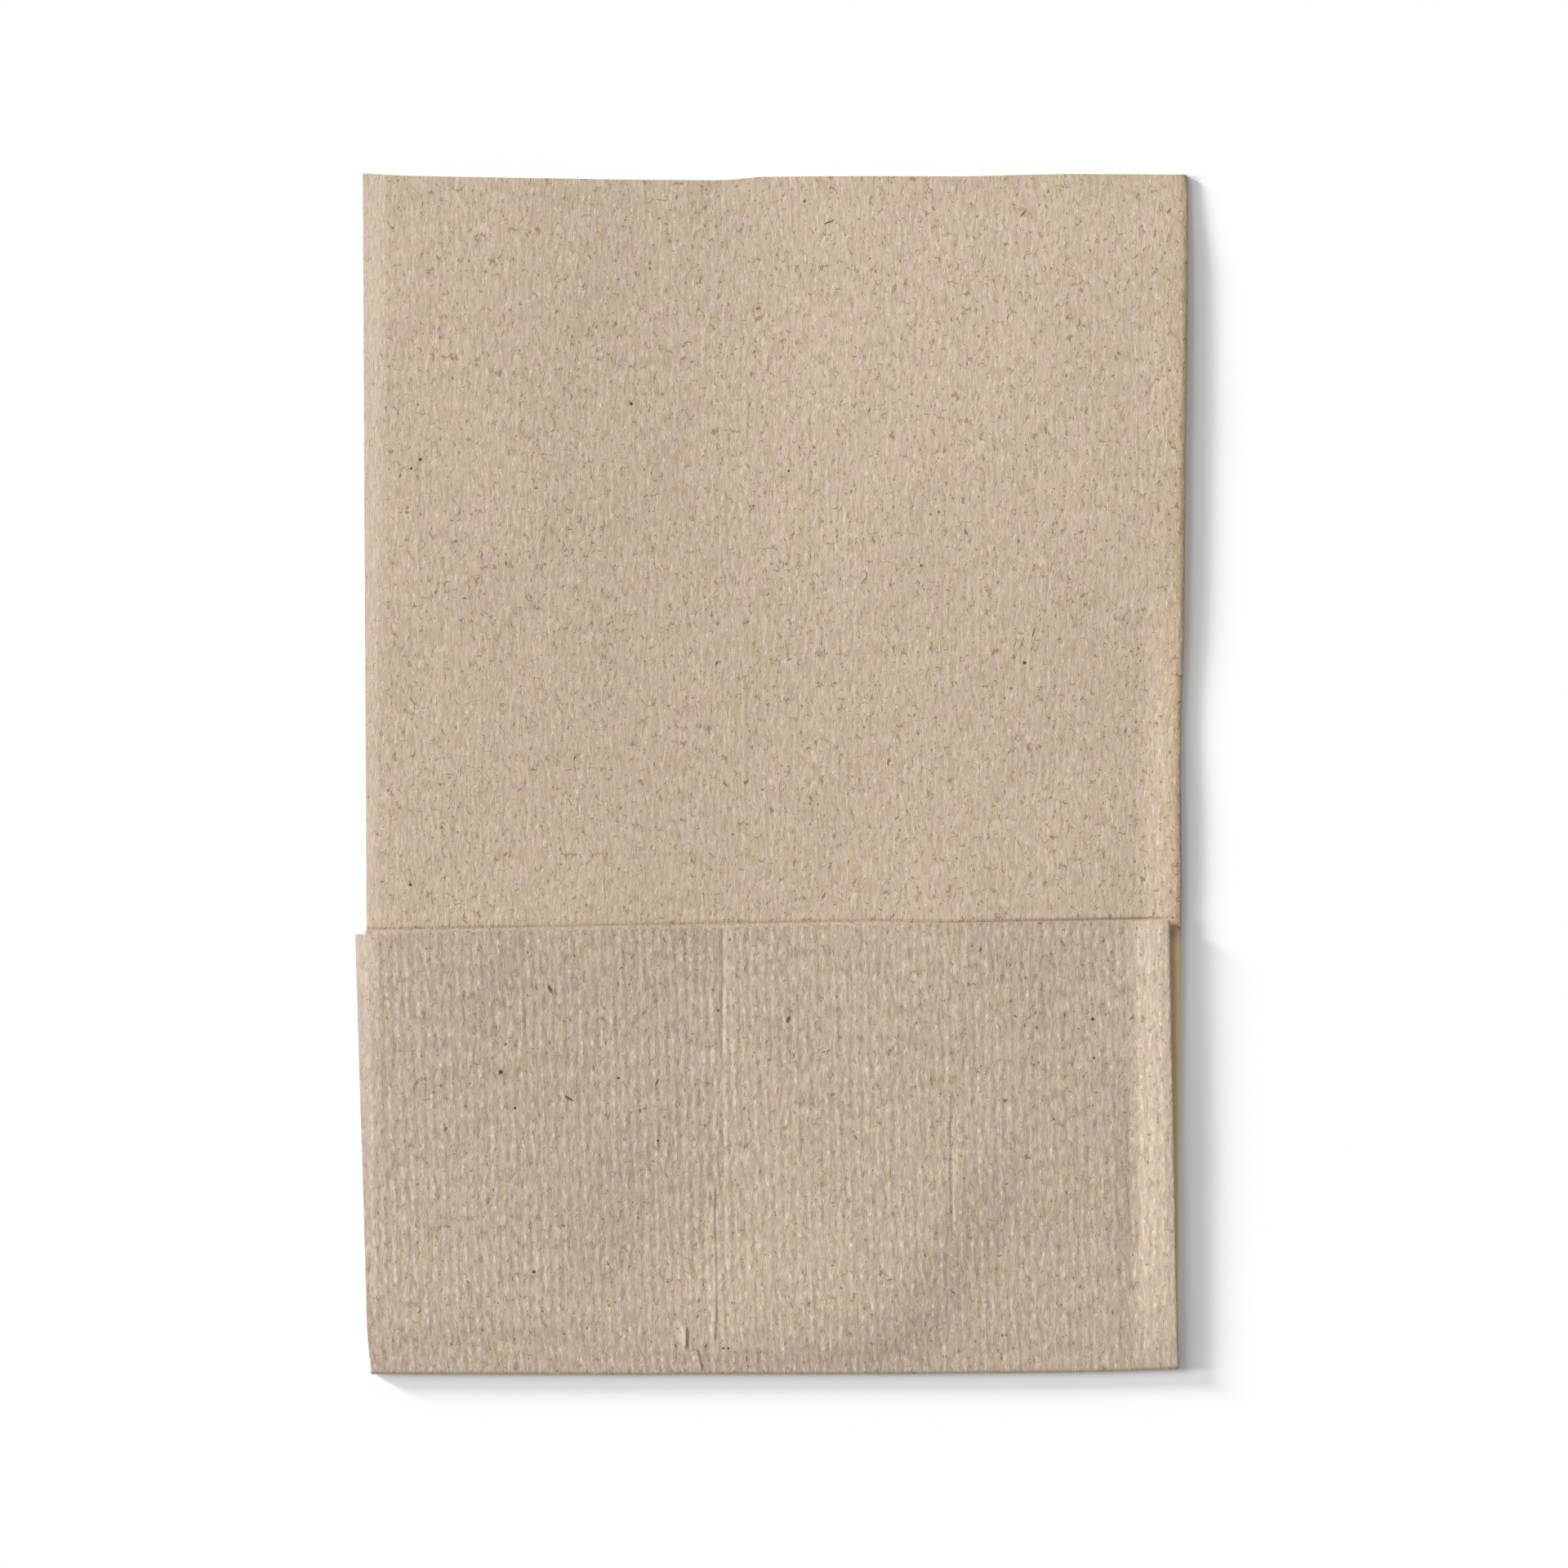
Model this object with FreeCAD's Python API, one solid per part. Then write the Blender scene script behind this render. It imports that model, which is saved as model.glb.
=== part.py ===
import FreeCAD, Part
import math
import os
from collections import namedtuple

os.makedirs("parts", exist_ok=True)

# Paper napkin: one sheet, folded in half along its right edge, then turned up at the bottom as a flap.
# Millimetres. X runs along the napkin's width, Y from the bottom fold to the top edge, Z up from the table.
# The origin is on the table, at the middle of the folded napkin.

# The sheet
sheet_length = 330.0
paper = 0.20

# The folded outline
panel_height = 241.2
fold_width = 162.7
fold_tilt = 0.35
side_fold_lean = 0.43
front_edge_lean = -0.29
back_edge_lean = 1.00
flap_out_of_square = 1.8
lip = 0.75
corner_radius = 1.6
corner_steps = 3

# The cut at the top, which dips towards the crease
dip_depth = 1.3
dip_left_bow = 0.45
dip_right_bow = 0.45
dip_right_reach = 74.0

# The crease down the middle
crease_top = -10.3
crease_bottom = -11.8

# Folds and the air between the layers
side_roll_radius = 0.30
bottom_roll_radius = 0.30
pressed_gap = 0.15
edge_gap = 0.35
arch_rise = 0.55
valley_inset = 8.5
settle_length = 25.0
flap_lift_left = 0.45
flap_lift_right = 0.40

# How far the cut at the top reaches past the paper
trim = 4.0

# A layer's height under the paper at its left edge, the crease, the valley by the side fold and the
# side fold itself, and how far it arches between them
Layer = namedtuple("Layer", "left crease valley roll rise")

# Where a section of the two layers lies: the level line it stands on, given by two ends, and along it the
# left edge of the lower and of the upper layer, the crease and the side fold
Station = namedtuple("Station", "ends low_left high_left crease fold")

side_fold_radius = side_roll_radius + paper
side_fold_height = 2.0 * side_fold_radius
axis_height = side_fold_height + bottom_roll_radius
flap_left = sheet_length - panel_height
flap_right = flap_left + flap_out_of_square


def point_on(start, end, x, z):
    """The point over x on the level line from start to end, at height z."""
    share = (x - start.x) / (end.x - start.x)
    return FreeCAD.Vector(x, start.y + share * (end.y - start.y), z)


def bezier(*poles):
    curve = Part.BezierCurve()
    curve.setPoles(list(poles))
    return curve.toShape()


def arch(start, end, rise):
    """A shallow arch whose middle stands rise over the straight line, or that line itself."""
    if rise == 0:
        return Part.makeLine(start, end)
    return bezier(start, (start + end) * 0.5 + FreeCAD.Vector(0, 0, 2.0 * rise), end)


def swell(start, end):
    """An even S with a level start and a level end, or a straight line between equal heights."""
    if start.z == end.z:
        return Part.makeLine(start, end)
    third = (end - start) * (1.0 / 3.0)
    level = FreeCAD.Vector(third.x, third.y, 0)
    return bezier(start, start + level, end - level, end)


def half_turn(start, end, direction):
    """The soft half turn of a fold, bulging along direction: within a fiftieth of its radius of a circle."""
    reach = direction * (2.0 / 3.0 * (end - start).Length)
    return bezier(start, start + reach, end + reach, end)


def line_between(first_edges, second_edges, at_fold):
    """The straight line that joins two runs of edges at the side fold or at the left edge."""
    if at_fold:
        return Part.makeLine(first_edges[-1].lastVertex().Point, second_edges[-1].lastVertex().Point)
    return Part.makeLine(first_edges[0].firstVertex().Point, second_edges[0].firstVertex().Point)


def layer_side(station, left_x, heights, raised):
    """One side of a layer, from its left edge to the side fold: two arches, then the swell into the fold."""
    places = (left_x, station.crease, station.fold - valley_inset, station.fold - side_fold_radius)
    levels = (heights.left, heights.crease, heights.valley, heights.roll)
    left, crease, valley, roll = [point_on(*station.ends, x, z + raised) for x, z in zip(places, levels)]
    return [arch(left, crease, heights.rise), arch(crease, valley, heights.rise), swell(valley, roll)]


def upper_layer(station, low, high):
    """The upper layer with the side fold, from the fold's outside over the layer and back to its inside."""
    along = (station.ends[1] - station.ends[0]).normalize()
    fold_start = point_on(*station.ends, station.fold - side_fold_radius, low.roll)
    under = layer_side(station, station.high_left, high, 0.0)
    over = layer_side(station, station.high_left, high, paper)
    outside = half_turn(fold_start, over[-1].lastVertex().Point, along)
    inside = half_turn(under[-1].lastVertex().Point, fold_start + FreeCAD.Vector(0, 0, paper), along)
    return [outside, *over[::-1], line_between(over, under, False), *under, inside]


def section(station, low, high):
    """The outline of two layers of paper joined at the side fold, in the upright plane through the ends."""
    under = layer_side(station, station.low_left, low, 0.0)
    over = layer_side(station, station.low_left, low, paper)
    return Part.Wire([*under, *upper_layer(station, low, high), *over[::-1], line_between(over, under, False)])


def single_layer(station, left_x, heights):
    """The outline of one layer of paper, without the side fold."""
    under = layer_side(station, left_x, heights, 0.0)
    over = layer_side(station, left_x, heights, paper)
    return Part.Wire([*under, line_between(under, over, True), *over[::-1], line_between(over, under, False)])


def panel_x(bottom_x, lean, up):
    """Where a line of the panel that starts on the bottom fold lies, up along it."""
    return bottom_x + math.tan(math.radians(lean)) * up


def flap_x(bottom_x, lean, up):
    """The same line carried round the bottom fold, which mirrors it about the fold's own tilt."""
    return bottom_x - math.tan(math.radians(lean + 2.0 * fold_tilt)) * up


def crease_x(up):
    return crease_bottom + (crease_top - crease_bottom) * up / panel_height


# The bottom fold's axis runs through the working origin
half_width = 0.5 * fold_width
fold_rise = half_width * math.tan(math.radians(fold_tilt))
axis_left = FreeCAD.Vector(-half_width, -fold_rise, 0)
axis_right = FreeCAD.Vector(half_width, fold_rise, 0)
axis_direction = (axis_right - axis_left).normalize()

# Every layer lies on the one below it with the pressed gap between them
step = paper + pressed_gap
flat_low = Layer(0, 0, 0, 0, 0)
panel_high = Layer(paper + edge_gap, step, step, side_fold_height - paper, arch_rise)
roll_high = Layer(*[side_fold_height - paper] * 4, 0)
turned_low = Layer(*[2.0 * axis_height - side_fold_height] * 4, 0)
turned_high = Layer(*[2.0 * axis_height - paper] * 4, 0)
flap_low = Layer(
    panel_high.left + step,
    panel_high.crease + step,
    panel_high.valley + step,
    side_fold_height + pressed_gap,
    arch_rise,
)
flap_high = Layer(
    flap_low.left + step,
    flap_low.crease + step,
    flap_low.valley + step,
    flap_low.roll + side_fold_height - paper,
    arch_rise,
)


def lifted(layer):
    """A flap layer at the free edge, which stands up at both ends and lies down at the crease."""
    return Layer(
        layer.left + flap_lift_left,
        layer.crease,
        layer.valley + flap_lift_right,
        layer.roll + flap_lift_right,
        layer.rise,
    )


def panel_station(up, drawn_in):
    """A section of the panel, which is level with the bottom fold at its foot and square at the top."""
    settled = fold_rise * up / (panel_height - axis_height)
    return Station(
        ends=(axis_left + FreeCAD.Vector(0, up + settled, 0), axis_right + FreeCAD.Vector(0, up - settled, 0)),
        low_left=panel_x(-half_width, back_edge_lean, up),
        high_left=panel_x(-half_width, front_edge_lean, up),
        crease=crease_x(up),
        fold=panel_x(half_width, side_fold_lean, up) - drawn_in,
    )


def flap_station(up_left, up_right):
    """A section of the flap, where the panel's front layer lies below its back layer."""
    return Station(
        ends=(axis_left + FreeCAD.Vector(0, up_left, 0), axis_right + FreeCAD.Vector(0, up_right, 0)),
        low_left=flap_x(-half_width, front_edge_lean, up_left),
        high_left=flap_x(-half_width, back_edge_lean, up_left),
        crease=crease_x(0.5 * (up_left + up_right)),
        fold=flap_x(half_width, side_fold_lean, up_right),
    )


def make_panel():
    """The two layers above the bottom fold: the back one is a flat plate, and the front one arches over it."""
    top = panel_height - axis_height
    stations = [panel_station(0.0, 0.0), panel_station(settle_length, 0.0)]
    for step_up in range(corner_steps + 1):
        angle = 0.5 * math.pi * step_up / corner_steps
        up = top - corner_radius * (1.0 - math.sin(angle))
        stations.append(panel_station(up, corner_radius * (1.0 - math.cos(angle))))
    fronts = [roll_high] + [panel_high] * (len(stations) - 1)
    wires = []
    for station, front in zip(stations, fronts):
        edges = upper_layer(station, flat_low, front)
        closing = Part.makeLine(edges[-1].lastVertex().Point, edges[0].firstVertex().Point)
        wires.append(Part.Wire([*edges, closing]))
    left_side = [point_on(*station.ends, station.low_left, 0.0) for station in stations]
    fold_side = [point_on(*station.ends, station.fold - side_fold_radius, 0.0) for station in stations]
    rim = Part.makePolygon([*left_side, *fold_side[::-1], left_side[0]])
    back = Part.Face(rim).extrude(FreeCAD.Vector(0, 0, paper))
    return Part.makeLoft(wires, True, True).fuse(back)


def make_bend():
    """The bottom fold: the two layers turned half a circle about its axis."""
    face = Part.Face(section(panel_station(0.0, 0.0), flat_low, roll_high))
    return face.revolve(axis_left + FreeCAD.Vector(0, 0, axis_height), -axis_direction, 180.0)


def make_flap():
    """The flap, with the inner layer's lip past its outer layer."""
    free_edge = flap_station(flap_left - axis_height, flap_right - axis_height)
    wires = [
        section(flap_station(0.0, 0.0), turned_low, turned_high),
        section(flap_station(settle_length, settle_length), flap_low, flap_high),
        section(free_edge, lifted(flap_low), lifted(flap_high)),
    ]
    inner_layer = Part.Face(single_layer(free_edge, free_edge.low_left, lifted(flap_low)))
    return Part.makeLoft(wires, True, True), inner_layer.extrude(FreeCAD.Vector(0, lip, 0))


def make_top_cut():
    """What the cut takes off the top edge: a dip at the crease, bowed on each side."""
    top = panel_height - axis_height
    start = FreeCAD.Vector(panel_x(-half_width, front_edge_lean, top), top, -trim)
    dip = FreeCAD.Vector(crease_top, top - dip_depth, -trim)
    rise = FreeCAD.Vector(crease_top + dip_right_reach, top, -trim)
    left_pole = (start + dip) * 0.5 - FreeCAD.Vector(0, 2.0 * dip_left_bow, 0)
    right_pole = (dip + rise) * 0.5 + FreeCAD.Vector(0, 2.0 * dip_right_bow, 0)
    past = FreeCAD.Vector(0, trim, 0)
    before = start - FreeCAD.Vector(trim, 0, 0)
    edges = [
        Part.makeLine(before, start),
        bezier(start, left_pole, dip),
        bezier(dip, right_pole, rise),
        Part.makeLine(rise, rise + past),
        Part.makeLine(rise + past, before + past),
        Part.makeLine(before + past, before),
    ]
    return Part.Face(Part.Wire(edges)).extrude(FreeCAD.Vector(0, 0, 2.0 * trim))


def make_napkin():
    panel = make_panel().cut(make_top_cut())
    napkin = panel.fuse([make_bend(), *make_flap()]).removeSplitter()
    box = napkin.optimalBoundingBox(False, False)
    napkin.translate(FreeCAD.Vector(-box.Center.x, -box.Center.y, -box.ZMin))
    return napkin


napkin = make_napkin()
solid = napkin.Solids[0]
box = solid.optimalBoundingBox(False, False)
print("solids", len(napkin.Solids), "valid", napkin.isValid(), "volume", round(solid.Volume, 1))
print("size", round(box.XLength, 2), round(box.YLength, 2), round(box.ZLength, 2))
solid.exportStep("parts/napkin_sheet.step")
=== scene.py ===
import math
from types import SimpleNamespace

import bpy
import numpy as np
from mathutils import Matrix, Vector


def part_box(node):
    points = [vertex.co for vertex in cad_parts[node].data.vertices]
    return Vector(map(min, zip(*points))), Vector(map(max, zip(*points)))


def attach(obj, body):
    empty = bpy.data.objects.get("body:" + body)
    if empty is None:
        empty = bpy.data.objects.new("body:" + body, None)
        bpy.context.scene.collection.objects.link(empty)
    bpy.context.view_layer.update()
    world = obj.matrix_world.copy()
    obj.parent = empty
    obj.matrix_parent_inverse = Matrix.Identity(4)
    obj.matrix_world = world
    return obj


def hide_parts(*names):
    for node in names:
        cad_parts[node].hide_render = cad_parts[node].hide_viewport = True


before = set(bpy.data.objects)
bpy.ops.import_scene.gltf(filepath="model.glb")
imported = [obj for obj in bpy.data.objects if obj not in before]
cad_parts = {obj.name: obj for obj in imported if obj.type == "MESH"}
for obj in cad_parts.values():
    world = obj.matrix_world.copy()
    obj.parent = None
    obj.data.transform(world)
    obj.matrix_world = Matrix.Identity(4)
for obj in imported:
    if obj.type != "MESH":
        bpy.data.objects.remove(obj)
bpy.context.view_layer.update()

# A paper napkin: one sheet of unbleached tissue, folded in half along its right edge and turned up at the
# bottom as a flap. Lengths here are in millimetres until a mesh or a light is made, in the frame of the
# bottom fold's middle, with x to the right, y up the panel and z off the floor.
MM = 0.001

# The folded sheet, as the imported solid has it
PAPER = 0.20
PANEL_HEIGHT = 241.2
FLAP_LEFT = 88.8
FLAP_RIGHT = 90.6
FOLD_WIDTH = 162.7
FOLD_TILT = math.radians(0.35)
SIDE_FOLD_LEAN = math.radians(0.43)
FRONT_LEAN = math.radians(-0.29)
BACK_LEAN = math.radians(1.00)
CORNER_RADIUS = 1.6
CREASE_TOP = -10.3
CREASE_BOTTOM = -11.8
SIDE_HEIGHT = 1.00
ROLL_REACH = 0.38
BEND_AIR = 0.12
PRESSED_GAP = 0.15
EDGE_GAP = 0.35
ARCH_RISE = 0.30
VALLEY_INSET = 8.5
SETTLE = 25.0
LIFT_LEFT = 0.35
LIFT_RIGHT = 0.30

HALF = 0.5 * FOLD_WIDTH
AXIS_HEIGHT = SIDE_HEIGHT + BEND_AIR
FOLD_RISE = HALF * math.tan(FOLD_TILT)
TOP = PANEL_HEIGHT - AXIS_HEIGHT
FLAP_UP_LEFT = FLAP_LEFT - AXIS_HEIGHT
FLAP_UP_RIGHT = FLAP_RIGHT - AXIS_HEIGHT
STEP = PAPER + PRESSED_GAP

# How the edges leave their straight lines: the fall of the cut top edge and the rise of the bottom fold, as
# (x, fall) and (x, rise), and the waver of the side fold, as (shift, height)
TOP_FALL = (
    (-82.0, 0.36), (-76.0, 0.75), (-65.0, 1.03), (-49.0, 1.33), (-32.0, 1.57), (-16.0, 1.67), (-9.8, 1.67),
    (-7.0, 1.42), (-3.0, 1.02), (8.0, 0.92), (40.0, 0.96), (50.0, 0.66), (60.0, 0.48), (82.0, 0.58),
)
FOOT_RISE = (
    (-81.0, 0.50), (-65.0, 0.35), (-49.0, 0.21), (-30.0, 0.08), (-9.0, 0.02), (25.0, -0.12), (60.0, -0.04),
    (81.0, 0.42),
)
SIDE_WAVER = (
    (0.15, 0.0), (-0.10, 12.0), (-0.25, 45.0), (-0.05, 80.0), (-0.05, 100.0), (-0.35, 117.0), (-0.35, 131.0),
    (0.10, 145.0), (0.15, 185.0), (0.35, 205.0), (0.25, 240.0),
)
# The bottom fold's bow and a narrowing of the left edges reach this far up. The trim holds all the way up.
FOOT_REACH = 12.0
FOOT_INSET = 0.55
LEFT_TRIM = 0.30

# A fade here is a pair of places: a soft step leaves 0 at the first of them and reaches 1 at the second

# The lower flap layer's lip beyond the upper one, the share of it left at the right, and where it fades, as
# shares of the width
LIP = 0.75
LIP_RIGHT = 0.25
LIP_FADE = (0.62, 0.72)

# Heights of a layer's underside at its left edge, the crease, the valley and the side fold, and its arch
PANEL_FRONT = np.array([PAPER + EDGE_GAP, STEP, STEP + 0.18, SIDE_HEIGHT + 0.05, ARCH_RISE])
FOOT_FRONT = np.array([SIDE_HEIGHT - PAPER] * 4 + [0.0])
TURNED_FRONT = np.array([2.0 * AXIS_HEIGHT - SIDE_HEIGHT] * 4 + [0.0])
TURNED_BACK = np.array([2.0 * AXIS_HEIGHT - PAPER] * 4 + [0.0])
FLAP_FRONT = PANEL_FRONT + np.array([STEP, STEP, STEP, PAPER, 0.0])
FLAP_BACK = FLAP_FRONT + np.array([STEP, STEP, 0.45, 0.80, 0.0])
FREE_LIFT = np.array([LIFT_LEFT, 0.0, LIFT_RIGHT, LIFT_RIGHT, 0.0])

# How widely the crease between the two arches is rounded off: low on the panel, at its top and on the flap
PANEL_ROUNDING = 18.0
TOP_ROUNDING = 2.0
TOP_ROUNDING_FADE = (TOP - 22.0, TOP)
FLAP_ROUNDING = 3.0

# Where the front layer has no valley beside the side fold, and how it rounds off towards the fold and lies
# flatter at the top edge
PLAIN_FADE = (118.0, 173.0)
PUFF = 0.32
VALLEY_REST = 0.03
ROUNDED_WIDTH = 4.5
ROUNDED_DROP = 0.06
ROUNDED_AT_VALLEY = 0.3
TOP_FLATTENED = 0.78
TOP_FLAT_FADE = (TOP - 20.0, TOP)

# Where the panel is pressed down. The furrow's fades count from the flap's free edge and from the side fold,
# and it is deeper at the right. The pinch lies round the crease's top.
FURROW_DEPTH = 0.14
FURROW_ABOVE = (0.65, 0.0)
FURROW_BELOW = (-8.0, -2.0)
FURROW_END = (0.0, 4.0)
DEEPER_BY = 0.7
DEEPER_FADE = (20.0, 70.0)
PINCH_DEPTH = 0.26
PINCH_WIDTH = 6.0
PINCH_FADE = (TOP - 16.0, TOP)

# Waves that every loose layer shares, as height, length, seed and stretch along y
WAVE_LIFT = 0.25
WAVES = ((0.062, 60.0, 11, 1.0), (0.026, 24.0, 12, 1.6), (0.008, 8.0, 13, 2.0))
LOOSE_FADE = (0.0, 12.0)

# Slopes of the flap, as a foot, the lean of its line, width and drop, and its shallow valley
RIGHT_SLANT = ((23.0, 0.0), 0.576, 17.0, 0.54)
RIGHT_SLANT_FADE = (58.0, 14.0)
LEFT_SLANT = ((-60.8, 68.0), 0.50, 15.0, 0.20)
LEFT_SLANT_FADE = (30.0, 60.0)
VALLEY_AT = 72.2
VALLEY_WIDTH = 2.2
VALLEY_DEPTH = 0.12
VALLEY_FADE = (64.0, 48.0)
FORM_FADE = (0.0, 5.0)

# Lines of the flap, as a path from its foot up, width, depth or height, and the length of its soft ends
PRESSED_LINES = (
    (((-10.0, 64.0), (-10.0, 88.0)), 0.45, 0.13, 2.0),
    (((-9.7, 38.0), (-9.8, 62.0)), 0.35, 0.035, 2.0),
    (((36.0, 31.0), (35.9, 48.0)), 0.40, 0.10, 9.0),
)
LOWER_PLEAT = ((-11.7, 6.9), (-11.4, 12.1), (-11.5, 21.9), (-11.9, 28.5), (-11.7, 35.9))
FOOT_PLEAT = ((-14.0, -0.8), (-15.3, 3.8), (-17.4, 4.3), (-17.4, 8.2))
PLEATS = ((LOWER_PLEAT, 0.9, 0.11, 1.5), (FOOT_PLEAT, 1.2, 0.22, 0.6))
PLEAT_DROP = 0.30

# One column of the grid is pulled sideways, so that it follows the lower pleat, and its neighbours go along
PLEAT_COLUMN = 274
PULL_WIDTH = 4.0
PULL_FOOT = (0.0, 7.0)
PULL_TOP = (50.0, 38.0)

# The embossed dots' height, and where they are fainter: at the flap's right and its foot, and in the panel's
# middle, as a spot's middle and its half sizes. Their unevenness has a share, a length and a seed.
FLAP_EMBOSS = 0.046
EMBOSS_RIGHT_FADE = (-12.0, 48.0)
EMBOSS_FOOT_FADE = (3.0, 9.0)
PANEL_EMBOSS = 0.028
EMBOSS_FAINT_SPOT = (5.0, 155.0, 75.0, 60.0)
UNEVENNESS = ((0.35, 5.0, 21), (0.2, 26.0, 22))
PALE_EMBOSS_LOSS = 0.6

# How flat the bottom fold's half turn is, with 1 for round
BEND_FLATNESS = 0.7

# Painted broad shade and light: how much paler or darker the colour is made, and where
PALE_BY = 0.035
PALE_ACROSS = (-30.0, 30.0)
PALE_UP = (150.0, 210.0)
DARK_BY = 0.03
DARK_SPOT = (-15.0, 130.0, 80.0, 90.0)
FOOT_DARK_BY = 0.035
FOOT_DARK_FADE = (14.0, 0.0)
BENT_DARK_BY = 0.05
BENT_WIDTH = 10.0
BENT_FADE = (52.0, 22.0)

# Where light and shade are painted into the colour: light through one layer past the left edge of the layer
# below, a highlight on the ridge beside the flap's right edge, warm shade at the side fold, and warm bounce
# light on the strip beside the flap, in its shadow
PALE_ON_PANEL = (-1.0, 1.4)
PALE_ON_FLAP = (-3.6, -0.6)
PALE_ON_FLAP_UP = (0.0, 60.0)
RIDGE_HIGHLIGHT = 0.26
RIDGE_FADE = (-9.0, -5.0)
SIDE_FOLD_FADE = (-5.0, 0.0)
TUCKED_TOP = (87.5, 84.5)
TUCKED_FOOT = (0.0, 6.0)
TUCKED_SIDE = (-3.0, -2.0)

# The material's attributes, in the order in which place() gives them. All but flap are masks of painted light
# and shade.
ATTRIBUTES = ("painted_pale_light", "flap", "painted_fold_shade", "painted_shading", "painted_bounce_light")

# The sheet's grid. Columns run from the back layer's left edge over the side fold to the front layer's
# left edge, and rows from the top edge round the bottom fold to the flap's free edge. Eight units make
# one cell of the embossed lattice.
CELL = 8
COLUMNS = 80 * CELL
FOLD_UNITS = CELL
PANEL_ROWS = 116 * CELL
BEND_ROWS = 2 * CELL
FLAP_ROWS = 43 * CELL
LIP_ROWS = CELL
FRONT = COLUMNS + FOLD_UNITS
ALL_COLUMNS = FRONT + COLUMNS
FLAP = PANEL_ROWS + BEND_ROWS
FREE_EDGE = FLAP + FLAP_ROWS
FREE_END = FREE_EDGE + LIP_ROWS

PITCH_ACROSS = (FOLD_WIDTH - ROLL_REACH) / COLUMNS
PITCH_DOWN = TOP / PANEL_ROWS

# The flap hides the panel past the first of these rows. The others are where finer blocks begin and end.
HIDDEN_ROW = 76 * CELL
CREASED_FROM = 31 * CELL
CREASED_TO = 37 * CELL
FAINT_FROM = 57 * CELL
FAINT_TO = 59 * CELL
EDGE_FROM = 564
EDGE_TO = 592

# The mesh's blocks, as first and last column, first and last row, and the steps between columns and rows
OUTER_BLOCKS = (
    (0, COLUMNS, 0, PANEL_ROWS, 16, 16),
    (COLUMNS, FRONT, 0, PANEL_ROWS, 1, 8),
    (FRONT, ALL_COLUMNS, 0, EDGE_FROM, 4, 4),
    (FRONT, ALL_COLUMNS, EDGE_FROM, EDGE_TO, 4, 1),
    (FRONT, ALL_COLUMNS, EDGE_TO, HIDDEN_ROW, 4, 4),
    (FRONT, ALL_COLUMNS, HIDDEN_ROW, PANEL_ROWS, 16, 16),
    (0, COLUMNS, PANEL_ROWS, FLAP, 8, 1),
    (COLUMNS, FRONT, PANEL_ROWS, FLAP, 1, 1),
    (FRONT, ALL_COLUMNS, PANEL_ROWS, FLAP, 16, 2),
    (0, CREASED_FROM, FLAP, FREE_EDGE, 2, 4),
    (CREASED_FROM, CREASED_TO, FLAP, FREE_EDGE, 1, 2),
    (CREASED_TO, FAINT_FROM, FLAP, FREE_EDGE, 2, 4),
    (FAINT_FROM, FAINT_TO, FLAP, FREE_EDGE, 1, 2),
    (FAINT_TO, COLUMNS, FLAP, FREE_EDGE, 2, 4),
    (COLUMNS, FRONT, FLAP, FREE_EDGE, 1, 4),
    (FRONT, ALL_COLUMNS, FLAP, FREE_EDGE, 16, 8),
    (FRONT, ALL_COLUMNS, FREE_EDGE, FREE_END, 4, 4),
)
INNER_BLOCKS = (
    (0, COLUMNS, 0, PANEL_ROWS, 16, 16),
    (COLUMNS, FRONT, 0, PANEL_ROWS, 2, 16),
    (FRONT, ALL_COLUMNS, 0, PANEL_ROWS, 16, 16),
    (0, COLUMNS, PANEL_ROWS, FLAP, 16, 4),
    (COLUMNS, FRONT, PANEL_ROWS, FLAP, 2, 4),
    (FRONT, ALL_COLUMNS, PANEL_ROWS, FLAP, 16, 4),
    (0, COLUMNS, FLAP, FREE_EDGE, 16, 8),
    (COLUMNS, FRONT, FLAP, FREE_EDGE, 2, 8),
    (FRONT, ALL_COLUMNS, FLAP, FREE_EDGE, 16, 8),
    (FRONT, ALL_COLUMNS, FREE_EDGE, FREE_END, 8, 8),
)
SHARP_ANGLE = math.radians(55.0)

# Colours of the tissue, as they show on screen
ROSE_GROUND = (199, 178, 161)
GREEN_GROUND = (197, 180, 159)
OCHRE_PATCH = (189, 168, 136)
OCHRE_STAIN = (190, 166, 134)
DARK_FIBRE = (112, 90, 60)
CURLED_FIBRE = (126, 96, 60)
SHORT_FIBRE = (92, 74, 52)
# Painted glints on pale raised fibres and painted highlights on the embossed dots' tops
PAINTED_HIGHLIGHT = (240, 228, 212)
DARK_SPECK = (62, 48, 36)
DARK_HAIR = (72, 56, 40)
# Painted light through one layer, made paler still by LIGHT_THROUGH
PAINTED_LIGHT_GROUND = (194, 175, 156)
# Painted warm shade at the side fold
FOLD_SHADE_TINT = (250, 245, 230)
# Painted warm bounce light on the strip in the flap's shadow
BOUNCE_LIGHT_TINT = (243, 213, 165)
FLAP_TINT = (240, 241, 244)
LIGHT_THROUGH = (1.27, 1.31, 1.37, 1.0)

# Dark round specks in the pulp, as a radius and the places of that size, on the napkin as it lies. The last
# two of the smallest are painted shade in two little pits.
SPECKS = (
    (0.50, ((-54.1, -59.7),)),
    (0.38, (
        (-28.0, 74.3), (-70.3, 63.1), (50.9, 22.3), (-47.4, -99.7), (64.5, -49.1), (-72.3, -22.2),
    )),
    (0.27, (
        (-72.1, 61.3), (3.6, 60.8), (30.2, 41.8), (64.8, -56.9), (6.8, 114.9), (-53.1, -54.1),
        # The last two places on the next line are painted shade in two little pits
        (-51.2, -66.9), (-30.5, -60.9), (-22.6, -73.5), (-10.5, -47.4), (-9.5, -115.0), (-8.5, -115.0),
    )),
)
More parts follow.
